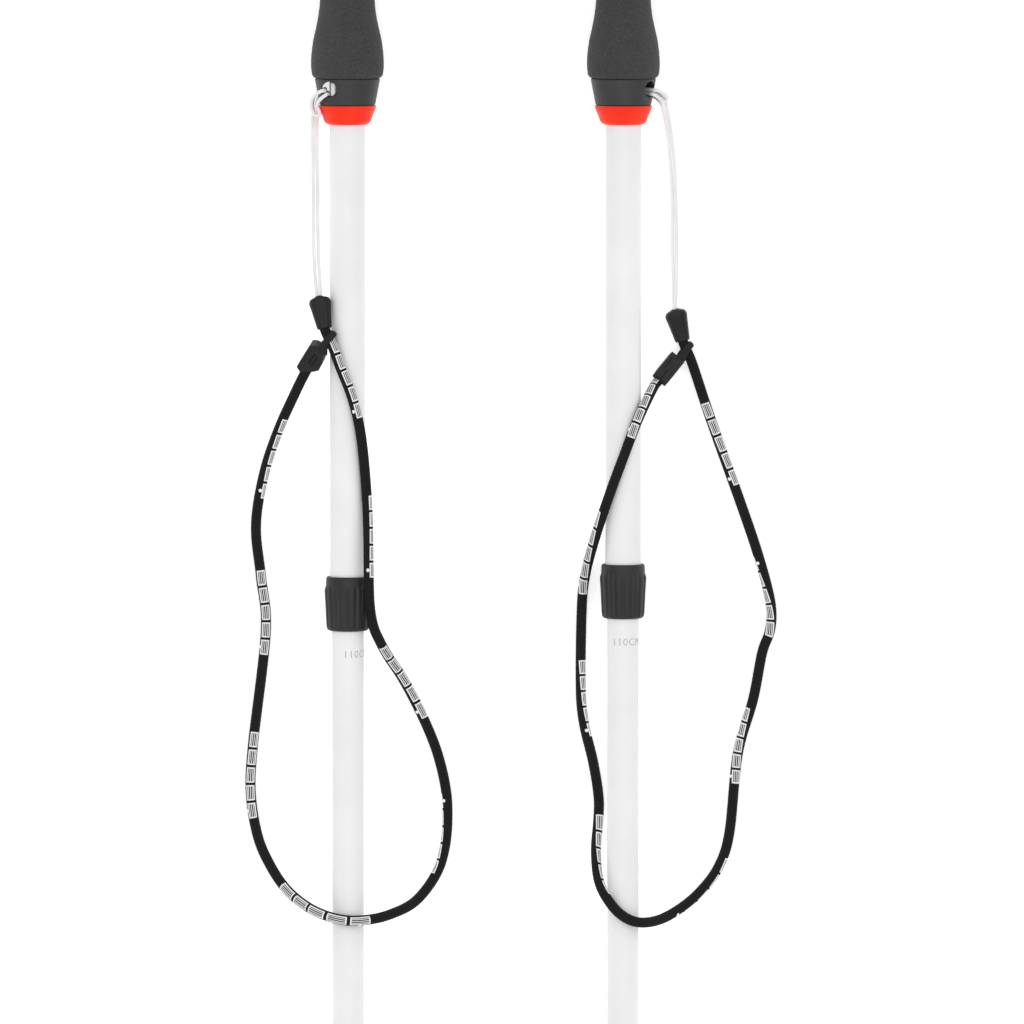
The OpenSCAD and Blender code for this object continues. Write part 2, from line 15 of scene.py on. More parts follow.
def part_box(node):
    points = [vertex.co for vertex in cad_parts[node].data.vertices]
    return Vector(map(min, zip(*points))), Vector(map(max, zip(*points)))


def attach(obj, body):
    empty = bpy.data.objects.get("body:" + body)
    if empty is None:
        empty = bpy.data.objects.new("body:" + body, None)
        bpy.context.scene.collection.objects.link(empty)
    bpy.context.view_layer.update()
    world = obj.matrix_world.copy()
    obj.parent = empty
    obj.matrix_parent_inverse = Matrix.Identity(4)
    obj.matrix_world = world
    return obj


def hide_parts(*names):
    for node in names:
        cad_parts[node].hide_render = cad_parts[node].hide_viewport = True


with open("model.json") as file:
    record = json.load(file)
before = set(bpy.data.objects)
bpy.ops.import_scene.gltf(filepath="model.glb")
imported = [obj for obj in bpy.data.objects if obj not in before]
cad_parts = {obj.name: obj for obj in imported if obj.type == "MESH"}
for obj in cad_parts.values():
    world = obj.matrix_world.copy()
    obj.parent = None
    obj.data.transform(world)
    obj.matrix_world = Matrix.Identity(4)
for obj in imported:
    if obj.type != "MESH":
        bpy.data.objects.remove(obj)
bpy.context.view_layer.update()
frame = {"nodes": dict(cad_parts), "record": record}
MM = 0.001
SIDES = ("left", "right")


def axis_of(side):
    """Where a pole's axis stands across the pair, and its height."""
    low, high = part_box(f"{side}_upper_tube")
    return (low.x + high.x) / 2, (low.z + high.z) / 2


AXIS = {side: axis_of(side) for side in SIDES}
SHAFT_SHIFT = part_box("right_upper_tube")[0].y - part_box("left_upper_tube")[0].y

# ---- Camera ----

VIEW_WIDTH = 0.517
VIEW_DISTANCE = 7.0
VIEW_TILT = math.radians(4.0)
VIEW_CENTRE = Vector((0.0134, 0.062, AXIS["left"][1]))


def make_camera():
    data = bpy.data.cameras.new("camera")
    data.sensor_width = 36
    data.lens = data.sensor_width * VIEW_DISTANCE / VIEW_WIDTH
    data.clip_end = 3 * VIEW_DISTANCE
    camera = bpy.data.objects.new("camera", data)
    camera.location = VIEW_CENTRE + VIEW_DISTANCE * Vector((0, math.sin(VIEW_TILT), math.cos(VIEW_TILT)))
    camera.rotation_euler = (-VIEW_TILT, 0, 0)
    bpy.context.scene.collection.objects.link(camera)
    bpy.context.scene.camera = camera


make_camera()

# ---- Routes of the cords: across from the pole's axis, along it, and above the floor ----

LEFT_CORD_ROUTE = [
    (-0.0134, 0.1695, 0.0253), (-0.0141, 0.179, 0.0194), (-0.0149, 0.193, 0.007),
    (-0.0152, 0.207, 0.0018), (-0.0152, 0.224, 0.0018), (-0.0155, 0.239, 0.0064),
    (-0.0155, 0.252, 0.0152), (-0.0154, 0.261, 0.0204), (-0.0151, 0.265, 0.0206),
    (-0.0156, 0.268, 0.018), (-0.0146, 0.2708, 0.0126), (-0.0124, 0.2727, 0.008),
    (-0.0106, 0.2735, 0.0074), (-0.0101, 0.27355, 0.011), (-0.0101, 0.27355, 0.029),
    (-0.0109, 0.273, 0.0323), (-0.013, 0.2714, 0.0308), (-0.0149, 0.269, 0.0272),
    (-0.0151, 0.2668, 0.0253), (-0.0141, 0.2646, 0.0252), (-0.0143, 0.2624, 0.025),
    (-0.0162, 0.2624, 0.0242), (-0.0178, 0.2648, 0.0236), (-0.0182, 0.268, 0.0236),
    (-0.0176, 0.2708, 0.0252), (-0.0159, 0.2732, 0.0284), (-0.0132, 0.275, 0.032),
    (-0.0115, 0.2753, 0.0314), (-0.01135, 0.2753, 0.028), (-0.01135, 0.2753, 0.011),
    (-0.0123, 0.2752, 0.0068), (-0.0147, 0.274, 0.0076), (-0.017, 0.2712, 0.013),
    (-0.0177, 0.2678, 0.0182), (-0.0171, 0.2642, 0.0202), (-0.0175, 0.2596, 0.0198),
    (-0.0176, 0.239, 0.0064), (-0.0175, 0.215, 0.0018), (-0.0171, 0.19, 0.0088),
    (-0.0154, 0.1695, 0.0256),
]
RIGHT_CORD_ROUTE = [
    (0.0261, 0.1616, 0.0049), (0.0256, 0.172, 0.0022), (0.0251, 0.19, 0.0014), (0.0247, 0.222, 0.0014),
    (0.0238, 0.238, 0.0046), (0.0226, 0.25, 0.011), (0.0209, 0.262, 0.018), (0.0192, 0.268, 0.0206),
    (0.0172, 0.2706, 0.0174), (0.0152, 0.2716, 0.011), (0.0106, 0.2726, 0.0046),
    (0.0056, 0.2731, 0.0026), (0.0035, 0.2733, 0.0039), (0.0049, 0.2734, 0.0065),
    (0.0127, 0.2734, 0.0229), (0.0143, 0.2734, 0.027), (0.0159, 0.2729, 0.0284),
    (0.0182, 0.2712, 0.0262), (0.02, 0.2696, 0.0238), (0.0216, 0.2698, 0.0234),
    (0.0219, 0.2718, 0.0242), (0.02, 0.2737, 0.0262), (0.018, 0.2751, 0.0283), (0.0159, 0.2754, 0.0282),
    (0.0134, 0.2754, 0.0236), (0.0052, 0.2754, 0.0066), (0.0039, 0.2754, 0.0032),
    (0.0062, 0.2752, 0.0018), (0.0118, 0.2746, 0.0034), (0.0172, 0.2732, 0.0094),
    (0.0197, 0.2715, 0.0158), (0.0213, 0.2688, 0.0194), (0.0229, 0.262, 0.0176), (0.0246, 0.25, 0.0106),
    (0.0259, 0.238, 0.0046), (0.0267, 0.222, 0.0015), (0.0272, 0.19, 0.0016), (0.0269, 0.172, 0.0044),
    (0.0261, 0.1616, 0.0069),
]
LEFT_LANYARD_ROUTE = [
    (-0.0125, 0.1605, 0.027), (-0.0114, 0.1546, 0.0278), (-0.0093, 0.1504, 0.0298),
    (-0.0065, 0.144, 0.0318), (-0.0036, 0.1359, 0.0322), (0.0027, 0.1196, 0.0319),
    (0.0072, 0.0985, 0.0299), (0.01, 0.064, 0.0274), (0.0106, 0.0319, 0.0302), (0.0111, 0.016, 0.0302),
    (0.0129, 0.0049, 0.0276), (0.0161, -0.0032, 0.022), (0.0203, -0.0115, 0.0154),
    (0.0266, -0.0216, 0.0084), (0.0329, -0.0333, 0.004), (0.04, -0.0483, 0.0028),
    (0.0453, -0.0623, 0.0028), (0.0491, -0.0783, 0.0028), (0.0502, -0.092, 0.0028),
    (0.0491, -0.1081, 0.0028), (0.0447, -0.1226, 0.0044), (0.0342, -0.136, 0.0114),
    (0.0216, -0.1418, 0.0216), (0.01, -0.1439, 0.029), (-0.001, -0.144, 0.0312),
    (-0.0121, -0.1415, 0.0282), (-0.0222, -0.1372, 0.0192), (-0.0319, -0.1297, 0.0096),
    (-0.0401, -0.1179, 0.0038), (-0.0461, -0.1035, 0.0028), (-0.0495, -0.0821, 0.0028),
    (-0.0484, -0.0579, 0.0028), (-0.0418, 0.0, 0.0028), (-0.0442, 0.0279, 0.0028),
    (-0.0467, 0.054, 0.0028), (-0.0426, 0.0801, 0.0032), (-0.0354, 0.1021, 0.0076),
    (-0.0267, 0.1217, 0.0148), (-0.0209, 0.1335, 0.02), (-0.0163, 0.1408, 0.0235),
]
RIGHT_LANYARD_ROUTE = [
    (0.0286, 0.154, 0.0049), (0.03, 0.1484, 0.005), (0.0318, 0.1436, 0.0052), (0.0351, 0.136, 0.0046),
    (0.0444, 0.1079, 0.0028), (0.0594, 0.066, 0.0028), (0.0676, 0.042, 0.0028), (0.0733, 0.022, 0.0028),
    (0.0753, 0.01, 0.0028), (0.0744, -0.0001, 0.0028), (0.0706, -0.0106, 0.0028),
    (0.0661, -0.0341, 0.0028), (0.0583, -0.0621, 0.0028), (0.0541, -0.1022, 0.0028),
    (0.0486, -0.1196, 0.0029), (0.0395, -0.1318, 0.005), (0.0291, -0.1399, 0.0116),
    (0.0182, -0.1448, 0.0204), (0.008, -0.1452, 0.0294), (-0.0004, -0.1416, 0.0312),
    (-0.0074, -0.1342, 0.0294), (-0.0123, -0.1242, 0.0234), (-0.0136, -0.11, 0.0124),
    (-0.0124, -0.096, 0.0052), (-0.0122, -0.084, 0.0029), (-0.015, -0.0661, 0.0028),
    (-0.0197, -0.0461, 0.0028), (-0.0213, -0.027, 0.0028), (-0.0207, 0.014, 0.0044),
    (-0.0187, 0.0311, 0.0108), (-0.015, 0.0461, 0.02), (-0.0104, 0.0612, 0.0274),
    (-0.0053, 0.0762, 0.0314), (0.0003, 0.0912, 0.032), (0.006, 0.1062, 0.0308),
    (0.0116, 0.1181, 0.0243), (0.0159, 0.1259, 0.0158), (0.0185, 0.1287, 0.0128),
    (0.0228, 0.1339, 0.0102),
]

CORD_D = 1.9 * MM
LANYARD_D = 5.2 * MM

# ---- Meshes ----


def link(obj):
    bpy.context.scene.collection.objects.link(obj)
    return obj


def mesh_object(name, points, faces, uv=None):
    """A smooth-shaded closed mesh, normals outwards. uv has one pair for each corner of each face."""
    mesh = bpy.data.meshes.new(name)
    mesh.from_pydata([tuple(p) for p in points], [], [tuple(f) for f in faces])
    if uv is not None:
        layer = mesh.uv_layers.new(name="Along")
        layer.data.foreach_set("uv", np.asarray(uv, np.float32).ravel())
    built = bmesh.new()
    built.from_mesh(mesh)
    bmesh.ops.recalc_face_normals(built, faces=built.faces)
    for face in built.faces:
        face.smooth = True
    built.to_mesh(mesh)
    built.free()
    return link(bpy.data.objects.new(name, mesh))


def grid_faces(rows, columns, close_rows, close_columns):
    """Quads over a grid of points, row by row."""
    r = np.arange(rows if close_rows else rows - 1)[:, None]
    c = np.arange(columns if close_columns else columns - 1)[None, :]
    next_r, next_c = (r + 1) % rows, (c + 1) % columns
    corners = (r * columns + c, r * columns + next_c, next_r * columns + next_c, next_r * columns + c)
    return np.stack([x.ravel() for x in corners], 1)


def unit(v):
    return v / np.maximum(np.linalg.norm(v, axis=-1, keepdims=True), 1e-12)


def between(a, b, c, d, t):
    """Catmull-Rom point between b and c."""
    return 0.5 * (2 * b + (c - a) * t + (2 * a - 5 * b + 4 * c - d) * t**2 + (3 * b - a - 3 * c + d) * t**3)


def smooth_line(points, per_segment=24):
    p = np.array(points, float)
    p = np.vstack([2 * p[0] - p[1], p, 2 * p[-1] - p[-2]])
    line = [between(*p[i : i + 4], j / per_segment) for i in range(len(p) - 3) for j in range(per_segment)]
    return np.array(line + [p[-2]])


def run_of(line):
    return np.concatenate([[0], np.cumsum(np.linalg.norm(np.diff(line, axis=0), axis=1))])


def evenly(line, step):
    """The line again, with its points a step apart."""
    run = run_of(line)
    at = np.linspace(0, run[-1], max(2, round(run[-1] / step) + 1))
    return np.stack([np.interp(at, run, line[:, k]) for k in range(line.shape[1])], 1)


def relaxed(line, passes):
    """The line with small kinks evened out, and its ends kept."""
    for _ in range(passes):
        line[1:-1] = (line[:-2] + 2 * line[1:-1] + line[2:]) / 4
    return line


def filleted(corners, radius, spacing, steps=5):
    """A closed outline with each corner rounded, and with its straight runs cut into short pieces."""
    p = np.array(corners, float)
    out = []
    for before, here, after in zip(np.roll(p, 1, 0), p, np.roll(p, -1, 0)):
        a, b = before - here, after - here
        cut = min(radius, np.linalg.norm(a) * 0.45, np.linalg.norm(b) * 0.45)
        start, end = here + unit(a) * cut, here + unit(b) * cut
        for t in np.linspace(0, 1, steps):
            out.append((1 - t) ** 2 * start + 2 * t * (1 - t) * here + t**2 * end)
    cut_up = []
    for here, after in zip(out, out[1:] + out[:1]):
        n = max(1, math.ceil(np.linalg.norm(after - here) / spacing))
        cut_up += [here + (after - here) * k / n for k in range(n)]
    return np.array(cut_up)


def turned(name, side, outline, sides=144, relief=None):
    """A closed outline of (along the pole, radius) turned about a pole's axis.
    relief(along, angle, radius) gives what is added to the radius."""
    x, z = AXIS[side]
    angle = np.linspace(0, 2 * math.pi, sides, endpoint=False)[None, :]
    along, radius = outline[:, :1] + 0 * angle, outline[:, 1:] + 0 * angle
    if relief is not None:
        radius = radius + relief(along, angle, radius)
    points = np.stack([x + radius * np.cos(angle), along, z + radius * np.sin(angle)], -1)
    return mesh_object(name, points.reshape(-1, 3), grid_faces(len(outline), sides, True, True))


def moulded(name, node, voxel, rounds):
    """A copy of a CAD node with its edges softened, as they come out of a mould."""
    obj = link(bpy.data.objects.new(name, frame["nodes"][node].data.copy()))
    remesh = obj.modifiers.new("remesh", "REMESH")
    remesh.mode = "VOXEL"
    remesh.voxel_size = voxel
    remesh.use_smooth_shade = True
    soften = obj.modifiers.new("soften", "SMOOTH")
    soften.factor = 0.5
    soften.iterations = rounds
    evaluated = obj.evaluated_get(bpy.context.evaluated_depsgraph_get())
    mesh = bpy.data.meshes.new_from_object(evaluated)
    obj.modifiers.clear()
    obj.data = mesh
    return obj


def dress(obj, side, body, material, slot, *nodes):
    """Gives a piece its material, the body that it rides on and the CAD nodes that it stands for."""
    obj.data.materials.clear()
    obj.data.materials.append(material)
    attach(obj, f"{side}_{body}")
    if nodes:
        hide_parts(*[f"{side}_{n}" for n in nodes])
    return obj


# ---- Materials ----


def add_node(tree, kind, inputs=None, **settings):
    """A shader node whose inputs are numbers, colours or another node's output."""
    node = tree.nodes.new(kind)
    for name, value in settings.items():
        setattr(node, name, value)
    for key, value in (inputs or {}).items():
        if isinstance(value, bpy.types.NodeSocket):
            tree.links.new(value, node.inputs[key])
        else:
            node.inputs[key].default_value = value
    return node


def grey(level, tint=0.0):
    return (level, level, level * (1 + tint), 1)


def blank(name):
    """A material with only its surface shader, its tree and the coordinates that stay with the piece."""
    material = bpy.data.materials.new(name)
    material.use_nodes = True
    tree = material.node_tree
    shader = tree.nodes["Principled BSDF"]
    place = add_node(tree, "ShaderNodeTexCoord").outputs["Object"]
    return material, tree, shader, place


def noise_at(tree, place, size, detail=4.0, rough=0.55):
    """Noise from 0 to 1 whose blobs are about size metres across."""
    inputs = {"Vector": place, "Scale": 1 / size, "Detail": detail, "Roughness": rough}
    return add_node(tree, "ShaderNodeTexNoise", inputs).outputs["Fac"]


def ramp(tree, value, low, high, dark, light):
    """Turns a value between low and high into a colour between dark and light."""
    node = add_node(tree, "ShaderNodeValToRGB", {"Fac": value})
    node.color_ramp.elements[0].position = low
    node.color_ramp.elements[0].color = dark
    node.color_ramp.elements[1].position = high
    node.color_ramp.elements[1].color = light
    return node.outputs["Color"]


def span(tree, value, low, high):
    """Maps 0 to 1 on to low to high."""
    inputs = {"Value": value, "To Min": low, "To Max": high}
    return add_node(tree, "ShaderNodeMapRange", inputs).outputs["Result"]


def sums(tree, operation, *values):
    """The output of a math node over numbers or other nodes' outputs."""
    return add_node(tree, "ShaderNodeMath", dict(enumerate(values)), operation=operation).outputs[0]


def bump(tree, shader, height, distance, strength=1.0, under=None):
    inputs = {"Height": height, "Distance": distance, "Strength": strength}
    if under is not None:
        inputs["Normal"] = under
    normal = add_node(tree, "ShaderNodeBump", inputs).outputs["Normal"]
    tree.links.new(normal, shader.inputs["Normal"])
    return normal


def foam_material():
    material, tree, shader, place = blank("grip_foam")
    inputs = {"Vector": place, "Scale": 1 / (0.55 * MM)}
    cells = add_node(tree, "ShaderNodeTexVoronoi", inputs).outputs["Distance"]
    grain = noise_at(tree, place, 1.1 * MM, 6.0, 0.7)
    cloud = noise_at(tree, place, 9 * MM, 3.0)
    speck = ramp(tree, grain, 0.34, 0.68, grey(0.033, 0.03), grey(0.064, 0.02))
    shade = ramp(tree, cloud, 0.3, 0.7, grey(0.86), grey(1.0))
    mixed = add_node(tree, "ShaderNodeMix", {"Factor": 1.0, "A": speck, "B": shade}, data_type="RGBA",
                     blend_type="MULTIPLY")
    tree.links.new(mixed.outputs["Result"], shader.inputs["Base Color"])
    tree.links.new(span(tree, grain, 0.78, 0.96), shader.inputs["Roughness"])
    shader.inputs["Sheen Weight"].default_value = 0.03
    shader.inputs["Sheen Roughness"].default_value = 0.6
    shader.inputs["Specular IOR Level"].default_value = 0.35
    under = bump(tree, shader, grain, 0.12 * MM, 0.8)
    bump(tree, shader, cells, 0.05 * MM, 0.5, under)
    return material


def plastic_material(name, level, tint, rough, grain_size, grain_depth, spread=0.12, gloss=0.25):
    """Moulded plastic with a fine eroded texture."""
    material, tree, shader, place = blank(name)
    grain = noise_at(tree, place, grain_size, 5.0, 0.6)
    cloud = noise_at(tree, place, 14 * MM, 3.0)
    colour = ramp(tree, cloud, 0.3, 0.7, grey(level * (1 - spread), tint), grey(level * (1 + spread), tint))
    tree.links.new(colour, shader.inputs["Base Color"])
    tree.links.new(span(tree, grain, rough - 0.07, rough + 0.09), shader.inputs["Roughness"])
    shader.inputs["Specular IOR Level"].default_value = gloss
    bump(tree, shader, grain, grain_depth)
    return material


def red_material():
    material, tree, shader, place = blank("red_plastic")
    grain = noise_at(tree, place, 0.35 * MM, 4.0)
    cloud = noise_at(tree, place, 8 * MM, 2.0)
    colour = ramp(tree, cloud, 0.25, 0.75, (0.92, 0.027, 0.009, 1), (1.0, 0.044, 0.015, 1))
    tree.links.new(colour, shader.inputs["Base Color"])
    tree.links.new(span(tree, grain, 0.36, 0.46), shader.inputs["Roughness"])
    shader.inputs["Specular IOR Level"].default_value = 0.14
    bump(tree, shader, grain, 0.012 * MM)
    return material


def tube_material():
    """White powder paint over drawn alloy tube."""
    material, tree, shader, place = blank("white_tube")
    peel = noise_at(tree, place, 0.7 * MM, 5.0, 0.65)
    cloud = noise_at(tree, place, 30 * MM, 2.0)
    colour = ramp(tree, cloud, 0.3, 0.7, (0.82, 0.82, 0.83, 1), (0.87, 0.87, 0.875, 1))
    tree.links.new(colour, shader.inputs["Base Color"])
    tree.links.new(span(tree, peel, 0.42, 0.56), shader.inputs["Roughness"])
    shader.inputs["Specular IOR Level"].default_value = 0.22
    shader.inputs["Coat Weight"].default_value = 0.04
    shader.inputs["Coat Roughness"].default_value = 0.3
    bump(tree, shader, peel, 0.012 * MM)
    return material


def wave(tree, value, turns):
    """A sine of the value, from 0 to 1."""
    sine = sums(tree, "SINE", sums(tree, "MULTIPLY", value, 2 * math.pi * turns))
    return sums(tree, "MULTIPLY_ADD", sine, 0.5, 0.5)


def braid_material(name, dark, light, strands, pitch, depth, rough, sheen, gloss):
    """Braided yarn: two families of strands that wind round the cord and cross.
    The mesh's map runs along the cord in metres and round it in turns."""
    material, tree, shader, place = blank(name)
    where = add_node(tree, "ShaderNodeUVMap", uv_map="Along").outputs["UV"]
    parts = add_node(tree, "ShaderNodeSeparateXYZ", {"Vector": where})
    along = sums(tree, "MULTIPLY", parts.outputs["X"], 1 / pitch)
    around = sums(tree, "MULTIPLY", parts.outputs["Y"], float(strands))
    one = wave(tree, sums(tree, "ADD", along, around), 1)
    two = wave(tree, sums(tree, "SUBTRACT", along, around), 1)
    crossing = sums(tree, "MAXIMUM", one, two)
    fuzz = noise_at(tree, place, 0.18 * MM, 6.0, 0.7)
    cloud = noise_at(tree, place, 12 * MM, 3.0)
    yarn = sums(tree, "MULTIPLY_ADD", fuzz, 0.45, crossing)
    # The colour follows the strands: lighter on their crowns and darker in the grooves between them,
    # painted shade over the bumped weave; the fuzz is the yarn's own uneven tone
    colour = ramp(tree, yarn, 0.35, 1.2, dark, light)
    shade = ramp(tree, cloud, 0.3, 0.7, grey(0.9), grey(1.0))
    mixed = add_node(tree, "ShaderNodeMix", {"Factor": 1.0, "A": colour, "B": shade}, data_type="RGBA",
                     blend_type="MULTIPLY")
    tree.links.new(mixed.outputs["Result"], shader.inputs["Base Color"])
    tree.links.new(span(tree, fuzz, rough - 0.08, rough + 0.08), shader.inputs["Roughness"])
    shader.inputs["Sheen Weight"].default_value = sheen
    shader.inputs["Sheen Roughness"].default_value = 0.5
    shader.inputs["Specular IOR Level"].default_value = gloss
    bump(tree, shader, yarn, depth)
    return material


def ink_material(name, dark, light, rough):
    """Printed ink, worn thin in places."""
    material, tree, shader, place = blank(name)
    grain = noise_at(tree, place, 0.3 * MM, 5.0, 0.7)
    tree.links.new(ramp(tree, grain, 0.3, 0.6, dark, light), shader.inputs["Base Color"])
    tree.links.new(span(tree, grain, rough - 0.1, rough + 0.1), shader.inputs["Roughness"])
    bump(tree, shader, grain, 0.01 * MM)
    return material


def metal_material():
    """Ground hard metal, with fine rings left by turning."""
    material, tree, shader, place = blank("tip_metal")
    inputs = {"Vector": place, "Scale": (0.05, 1.0, 0.05)}
    stretched = add_node(tree, "ShaderNodeMapping", inputs).outputs[0]
    rings = noise_at(tree, stretched, 0.12 * MM, 3.0)
    colour = ramp(tree, rings, 0.3, 0.7, grey(0.28, 0.04), grey(0.42, 0.04))
    tree.links.new(colour, shader.inputs["Base Color"])
    tree.links.new(span(tree, rings, 0.25, 0.42), shader.inputs["Roughness"])
    shader.inputs["Metallic"].default_value = 1.0
    bump(tree, shader, rings, 0.01 * MM)
    return material


LOOK = {
    "grip_foam": foam_material(),
    "grip_rubber": plastic_material("grip_rubber", 0.014, 0.02, 0.72, 0.5 * MM, 0.03 * MM),
    "black_plastic": plastic_material("black_plastic", 0.018, 0.02, 0.5, 0.3 * MM, 0.02 * MM),
    "collar_plastic": plastic_material("collar_plastic", 0.042, 0.02, 0.46, 0.28 * MM, 0.018 * MM),
    "slider_plastic": plastic_material("slider_plastic", 0.016, 0.02, 0.5, 0.25 * MM, 0.018 * MM),
    # Cord ends: the slider's plastic made darker, painted shade that offsets the extra light on their
    # upward faces
    "shaded_end_plastic": plastic_material("shaded_end_plastic", 0.011, 0.02, 0.48, 0.25 * MM, 0.018 * MM),
    "nut_plastic": plastic_material("nut_plastic", 0.020, 0.02, 0.48, 0.4 * MM, 0.03 * MM, 0.12, 0.32),
    "red_plastic": red_material(),
    "wedge_plastic": plastic_material("wedge_plastic", 0.55, 0.02, 0.5, 0.3 * MM, 0.015 * MM, 0.05, 0.5),
    "white_tube": tube_material(),
    "white_cord": braid_material("white_cord", grey(0.72), grey(0.93), 6, 1.5 * MM, 0.07 * MM,
                                 0.7, 0.2, 0.3),
    "black_lanyard": braid_material("black_lanyard", grey(0.005, 0.08), grey(0.014, 0.08), 12, 2.6 * MM,
                                    0.09 * MM, 0.8, 0.01, 0.12),
    "tip_metal": metal_material(),
}
SLOT_OF = {part["node"]: part["material_slot"] for part in frame["record"]["subparts"]}
for node_name, node_object in frame["nodes"].items():
    node_object.data.materials.clear()
    node_object.data.materials.append(LOOK[SLOT_OF[node_name]])

# ---- Cords ----


def placed(route, side):
    """A route's points in the frame."""
    return np.array(route) + np.array([AXIS[side][0], 0, 0])


def carried_sideways(line):
    """For each point of the line its heading and a sideways direction, carried along without twisting."""
    heading = unit(np.gradient(line, axis=0))
    sides = [unit(np.cross(heading[0], [0.31, 0.17, 1]))]
    for t in heading[1:]:
        sides.append(unit(sides[-1] - (sides[-1] @ t) * t))
    return heading, np.array(sides)


def upright(line):
    """For each point of a line that never stands on end: its heading, upwards and outwards of the loop."""
    heading = unit(np.gradient(line, axis=0))
    up = unit(np.array([0, 0, 1.0]) - heading[:, 2:] * heading)
    return heading, up, np.cross(up, heading)


def cord_tube(name, line, up, out, radius, sides, relief):
    """A closed tube along a line. relief(along, turn) gives what is added to its radius."""
    run = run_of(line)
    turn = np.linspace(0, 1, sides, endpoint=False)
    r = radius + relief(run[:, None], turn[None, :])
    angle = 2 * math.pi * turn[None, :, None]
    points = line[:, None] + r[..., None] * (np.cos(angle) * up[:, None] + np.sin(angle) * out[:, None])
    faces = grid_faces(len(line), sides, False, True)
    ring, column = faces[:, 0] // sides, faces[:, 0] % sides
    u0, u1, v0, v1 = run[ring], run[ring + 1], column / sides, (column + 1) / sides
    uv = np.stack([u0, v0, u0, v1, u1, v1, u1, v0], 1).reshape(-1, 2)
    ends = [tuple(range(sides - 1, -1, -1)), tuple(range((len(line) - 1) * sides, len(line) * sides))]
    cap_uv = [(end, k / sides) for end in (0.0, run[-1]) for k in range(sides)]
    return mesh_object(name, points.reshape(-1, 3), [*faces.tolist(), *ends], np.vstack([uv, cap_uv]))


def braid_relief(strands, pitch, depth):
    def relief(along, turn):
        one = along / pitch + strands * turn
        two = along / pitch - strands * turn
        return depth * (np.maximum(np.cos(2 * math.pi * one), np.cos(2 * math.pi * two)) - 1) / 2

    return relief


def make_leash_cord(side, route):
    line = relaxed(evenly(smooth_line(placed(route, side)), 0.3 * MM), 6)
    heading, sideways = carried_sideways(line)
    out = np.cross(heading, sideways)
    cord = cord_tube(f"{side}_leash_cord_braided", line, sideways, out, CORD_D / 2, 18,
                     braid_relief(6, 1.5 * MM, 0.10 * MM))
    return dress(cord, side, "upper", LOOK["white_cord"], "white_cord", "leash_cord"), line


def make_lanyard(side, route):
    line = relaxed(evenly(smooth_line(placed(route, side)), 0.5 * MM), 12)
    heading, up, out = upright(line)
    lanyard = cord_tube(f"{side}_lanyard_braided", line, up, out, LANYARD_D / 2, 40,
                        braid_relief(12, 2.6 * MM, 0.10 * MM))
    return dress(lanyard, side, "upper", LOOK["black_lanyard"], "black_lanyard", "lanyard"), line


ROUTES = {"left": (LEFT_CORD_ROUTE, LEFT_LANYARD_ROUTE), "right": (RIGHT_CORD_ROUTE, RIGHT_LANYARD_ROUTE)}
cords, lanyards = {}, {}
for side in SIDES:
    cords[side] = make_leash_cord(side, ROUTES[side][0])
    lanyards[side] = make_lanyard(side, ROUTES[side][1])

# ---- Print on the lanyards ----

CELLS = 5
CELL_SHARE = 0.86
CELL_WIDTH = 3.9 * MM
BORDER = 0.72 * MM
STRIPE = 0.38 * MM
DOT_RADIUS = 0.9 * MM
DOT_ASIDE = 1.25 * MM
INK_RAISED = 0.03 * MM
INK_SUNK = 0.14 * MM

# Each group of printed blocks: its start and end along the lanyard in millimetres, its turn at both ends
# from straight up towards the outside of the loop in degrees, and the end that its dot is at.
PRINT_GROUPS = {
    "left": [(12.2, 54, 41, 43, 1), (94, 135.5, 74, 63, 1), (174, 222, 4, 35, 1), (262, 305, -113, -75, -1),
             (353, 408, 4, 6, -1), (447, 491, 6, -9, -1), (530.5, 573.5, 0, -7, -1),
             (610.5, 654.5, -72, -46, -1)],
    "right": [(40, 84.5, -4, 44, 1), (122, 164, -115, 4, -1), (202, 241, -58, 20, 1),
              (279, 323, 80, 121, 1), (366, 413, -105, -18, 1), (453.5, 493, -90, -28, -1),
              (527.5, 577, 0, 84, -1), (617.5, 657, 0, 55, -1)],
}


def cell_bars(middle, length):
    """The printed bars of one block, each as its start and end along the lanyard and across the print."""
    half, wide, line = length / 2, CELL_WIDTH / 2, BORDER / 2
    bars = []
    for way in (-1, 1):
        end = middle + way * (half - line)
        bars.append((middle - half, middle + half, way * wide - line, way * wide + line))
        bars.append((end - line, end + line, line - wide, wide - line))
    bars += [(middle - half + BORDER, middle + half - BORDER, across - STRIPE / 2, across + STRIPE / 2)
             for across in (-CELL_WIDTH / 4, 0, CELL_WIDTH / 4)]
    return bars


